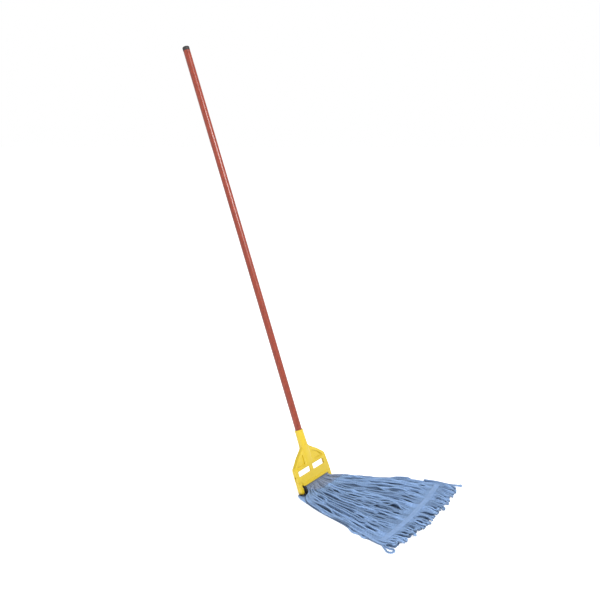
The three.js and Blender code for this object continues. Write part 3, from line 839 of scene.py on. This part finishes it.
def headband_surface():
    """Outer surface of the folded headband, from its front edge over the crossbar to its back edge."""
    station, front = flap_plan("front")
    places = on_floor(front)
    ramped = between(station, 0.0, 0.9)
    height = taut_height(places, FLAP_ROWS) + BAND_THICKNESS
    height = (BAR_HEIGHT + HEADBAND_TURN) * (1 - ramped) + height * ramped
    over = np.dstack([front, height])[::-1]
    marks = imprint(places, FLAP_ROWS)[::-1]
    along_bar = np.linspace(*BAR_ENDS, FLAP_COLUMNS) * MM
    angle = np.linspace(math.pi / 2, -math.pi / 3, 14)[1:, None]
    turn = np.stack(np.broadcast_arrays(
        along_bar,
        HEADBAND_TURN * np.cos(angle),
        BAR_HEIGHT + HEADBAND_TURN * np.sin(angle),
    ), axis=-1)
    station, back = flap_plan("back")
    drop = between(station, 0.0, 0.55)
    under = np.dstack([back, 5.5 * MM * (1 - drop) + 0.1 * MM * drop])
    surface = np.vstack([over, turn, under])
    plain = np.full((len(surface) - FLAP_ROWS, FLAP_COLUMNS), 0.5)
    return surface, np.vstack([marks, plain])


# The lower flap of the headband lies on the floor, and the yarn and the bands on top of it.
lower_flap = on_floor(flap_plan("back")[1])
heap.spread(lower_flap, np.full(len(lower_flap), 1.5 * MM))
bands = {}
strands = {}
for layer in LAYERS:
    bands[f"tail_band_{layer}_under"] = lay_band(layer)
    strands[layer] = lay_layer(layer)
    bands[f"tail_band_{layer}_top"] = lay_band(layer)

# ---------- yarn pieces ----------

YARN_TURN = 7.0 * MM  # radius of the yarn's middle round the crossbar
# middle of the painted shadow that the wheel and the gate's foot cast on the yarn
WHEEL_FOOT = np.array([-71, -9, 2]) * MM  # where the thumb wheel comes nearest to the floor


def turn_round_bar(upper, lower, steps=9):
    """Line round the back of the crossbar, from the start of a strand above it to one below it."""
    angle = np.linspace(math.pi / 2, -math.pi / 2, steps + 2)[1:-1]
    share = np.linspace(0, 1, steps + 2)[1:-1]
    return np.stack([
        upper[0] + (lower[0] - upper[0]) * share,
        YARN_TURN * np.cos(angle),
        BAR_HEIGHT + YARN_TURN * np.sin(angle),
        np.full(steps, upper[3]),
    ], axis=1)


def closed_yarn(number):
    """A length of yarn that goes out and back in both layers, round the crossbar.

    Gives its line, its radius at each point and its length."""
    front, back = strands["front"], strands["back"]
    first, second, third, fourth = front[number], front[number + 1], back[number + 1], back[number]
    line = np.vstack([
        first,
        second[::-1],
        turn_round_bar(second[0], third[0]),
        third,
        fourth[::-1],
        turn_round_bar(first[0], fourth[0])[::-1],
    ])
    even, length = spaced_out(line, RING_POINTS, closed=True)
    even = smoothed(even, 3, closed=True)
    return even[:, :3], even[:, 3], length


def daylight(points):
    """How light each point of the yarn is painted: 1 on top of the heap, painted shade in the gaps and
    a painted shadow under the wheel.
    """
    cover = heap.under(points, 4.6 * MM) - points[:, 2]
    in_gap = between(cover, 1.4 * MM, 8.5 * MM)
    # painted shadow of the thumb wheel and the gate's foot
    under_wheel = between(np.linalg.norm(points - WHEEL_FOOT, axis=1), 26 * MM, 12 * MM)
    return (1 - 0.58 * in_gap) * (1 - 0.92 * under_wheel)


def add_bundle(number, material):
    """One bundle: three closed lengths of yarn, six strands in each layer."""
    shapes, uvs, ridges, tones_and_shades = [], [], [], []
    per_bundle = STRANDS // BUNDLES
    for strand in range(number * per_bundle, (number + 1) * per_bundle, 2):
        points, faces, uv, ridge = twisted_tube(*closed_yarn(strand), closed=True)
        shapes.append((points, faces))
        uvs.append(uv)
        ridges.append(ridge)
        # each yarn's random tone, times its painted shade from the heap and the wheel
        tones_and_shades.append(rng.uniform(0.76, 1.18) * daylight(points))
    fields = {"ridge": np.concatenate(ridges), "tint": np.concatenate(tones_and_shades)}
    piece = add_piece(f"yarn_{number + 1:02d}", *joined(shapes), material, "blue_yarn",
                      np.vstack(uvs), fields)
    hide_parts(f"yarn_bundle_{number + 1:02d}")


# the first colour is the painted shade between the plies, the second the colour on the plies
blue_yarn = twisted_yarn("blue_yarn", (0.07, 0.12, 0.26), (0.345, 0.53, 0.83))
for bundle in range(BUNDLES):
    add_bundle(bundle, blue_yarn)

# ---------- headband and tail bands ----------

STITCH_PITCH = 4.2 * MM
STITCH_RISE = 0.35 * MM
STITCH_RADII = 0.38 * MM * np.array([0.5, 0.9, 1, 1, 1, 0.9, 0.5])  # along a stitch
STITCH_SIDES = 6
HEADBAND_SEAMS = [2, 5, 24]  # the rows of its surface that are stitched
BAND_SEAMS = [3, 11, 19]


def stitch(start, end):
    """One short raised thread on a surface."""
    rings = len(STITCH_RADII)
    share = np.linspace(0.06, 0.94, rings)[:, None]
    line = start + (end - start) * share
    line[:, 2] += STITCH_RISE * np.sin(share[:, 0] * math.pi)
    tangent, side, up = carried_frames(line, closed=False)
    angle = np.arange(STITCH_SIDES) * 2 * math.pi / STITCH_SIDES
    outward = np.cos(angle)[None, :, None] * side[:, None] + np.sin(angle)[None, :, None] * up[:, None]
    vertices = line[:, None] + STITCH_RADII[:, None, None] * outward
    first_end = np.arange(STITCH_SIDES)
    last_end = first_end[::-1] + (rings - 1) * STITCH_SIDES
    faces = grid_faces(rings, STITCH_SIDES, closed_columns=True)[:, ::-1].tolist()
    return vertices.reshape(-1, 3), faces + [first_end.tolist(), last_end.tolist()]


def add_stitches(name, paths, material, slot):
    """A piece of sewing: a row of stitches along each path."""
    stitches = []
    for path in paths:
        points, _ = spaced_out(path, max(4, int(path_length(path) / STITCH_PITCH)))
        stitches.extend(stitch(start, end) for start, end in zip(points[:-1], points[1:]))
    return add_piece(name, *joined(stitches), material, slot)


def add_headband(thread):
    surface, marks = headband_surface()
    vertices, faces, uvs = slab(surface, BAND_THICKNESS)
    fields = {"imprint": np.tile(marks.reshape(-1), 2)}
    piece = add_piece("headband_mesh", vertices, faces, woven_mesh(), "mesh_fabric", uvs, fields)
    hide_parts("headband")
    stitches = add_stitches("headband_stitches", surface[HEADBAND_SEAMS], thread, "mesh_fabric")


def add_tail_band(node, material, thread):
    surface, marks = bands[node]
    vertices, faces, uvs = slab(surface, BAND_THICKNESS)
    fields = {"imprint": np.tile(marks.reshape(-1), 2)}
    piece = add_piece(f"{node}_tape", vertices, faces, material, "blue_tape", uvs, fields)
    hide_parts(node)
    stitches = add_stitches(f"{node}_stitches", surface[BAND_SEAMS], thread, "blue_tape")


blue_thread = sewing_thread()
blue_tape = tape()
add_headband(blue_thread)
for band in bands:
    add_tail_band(band, blue_tape, blue_thread)

# ---------- loose ends of yarn ----------

LOOSE_TINT = 0.82
LOOSE_LOOP = [
    (-158, -384, 5.0), (-172, -399, 4.0), (-183, -414, 3.8), (-191, -428, 3.8), (-186, -440, 3.8),
    (-174, -443, 3.8), (-169, -435, 3.8), (-172, -422, 4.0), (-171, -410, 5.0), (-165, -398, 6.5),
]
STRAY_YARN = [  # its cut end has opened
    (273, -306, 17), (293, -345, 14), (310, -386, 9), (324, -407, 6.5), (337, -427, 5.2),
]


def add_loose_yarn(name, node, points, end_width=1.0):
    """A loose cord through points in millimetres. end_width is how many times wider its far end is."""
    route = curve_through(points, np.linspace(0, len(points) - 1, 60)) * MM
    line, length = spaced_out(route, int(path_length(route) / (2.5 * MM)))
    left = np.arange(len(line)) - len(line)  # points up to the far end, as a negative number
    radius = YARN_RADIUS * (1 + (end_width - 1) * between(left, -7, -1))
    vertices, faces, uvs, ridge = twisted_tube(line, radius, length, closed=False)
    fields = {"ridge": ridge, "tint": np.full(len(vertices), LOOSE_TINT)}
    piece = add_piece(name, vertices, faces, blue_yarn, "blue_yarn", uvs, fields)
    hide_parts(node)


add_loose_yarn("loose_yarn_loop", "loose_loop", LOOSE_LOOP)
add_loose_yarn("stray_yarn_end", "stray_yarn", STRAY_YARN, end_width=1.5)

# ---------- hard parts ----------

FINISHES = [
    (yellow_plastic(), ["yoke", "side_gate"]),
    (lacquered_wood(), ["handle_pole"]),
    (dark_plastic("black_rubber", (0.02, 0.018, 0.018), 0.6), ["handle_end_cap"]),
    (dark_plastic("dark_plastic", (0.018, 0.018, 0.021), 0.45), ["thumb_wheel"]),
    (plated_steel(), ["crossbar", "socket_screw", "gate_pin", "thrust_washer"]),
]
for finish, nodes in FINISHES:
    for node in nodes:
        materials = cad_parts[node].data.materials
        materials.clear()
        materials.append(finish)

# ---------- studio ----------

FLOOR_DEPTH = 1 * MM  # under the mop, so that nothing lies exactly in it
LIGHTS_AIM = (0, 0, 0.5)  # the middle of the mop


def add_floor(size=60):
    mesh = bpy.data.meshes.new("floor")
    corners = [(-size, -size), (size, -size), (size, size), (-size, size)]
    mesh.from_pydata([(x, y, -FLOOR_DEPTH) for x, y in corners], [], [(0, 1, 2, 3)])
    mesh.materials.append(floor_paint())
    floor = bpy.data.objects.new("floor", mesh)
    bpy.context.scene.collection.objects.link(floor)


def add_world():
    """A white room with a darker ceiling."""
    world = bpy.data.worlds.new("studio")
    world.use_nodes = True
    tree = world.node_tree
    direction = add_node(tree, "ShaderNodeTexCoord").outputs["Generated"]
    height = add_node(tree, "ShaderNodeSeparateXYZ", Vector=direction).outputs["Z"]
    sky = ramp(tree, height, [(0.0, (1, 1, 1)), (0.2, (1, 1, 1)), (0.45, (0.45, 0.45, 0.46))])
    set_inputs(tree, tree.nodes["Background"], Color=sky)
    bpy.context.scene.world = world


def add_light(name, azimuth, elevation, distance, size, power):
    """A square soft box that looks at the middle of the mop."""
    data = bpy.data.lights.new(name, "AREA")
    data.size = size
    data.energy = power
    light = bpy.data.objects.new(name, data)
    bpy.context.scene.collection.objects.link(light)
    direction = Vector(heading(azimuth, elevation))
    aim(light, Vector(LIGHTS_AIM) - direction * distance, direction)


add_floor()
add_world()
add_light("key_light", azimuth=-12, elevation=46, distance=3.2, size=1.0, power=90)
add_light("fill_light", azimuth=-105, elevation=35, distance=3.6, size=2.4, power=12)
bpy.context.scene.view_settings.view_transform = "Standard"
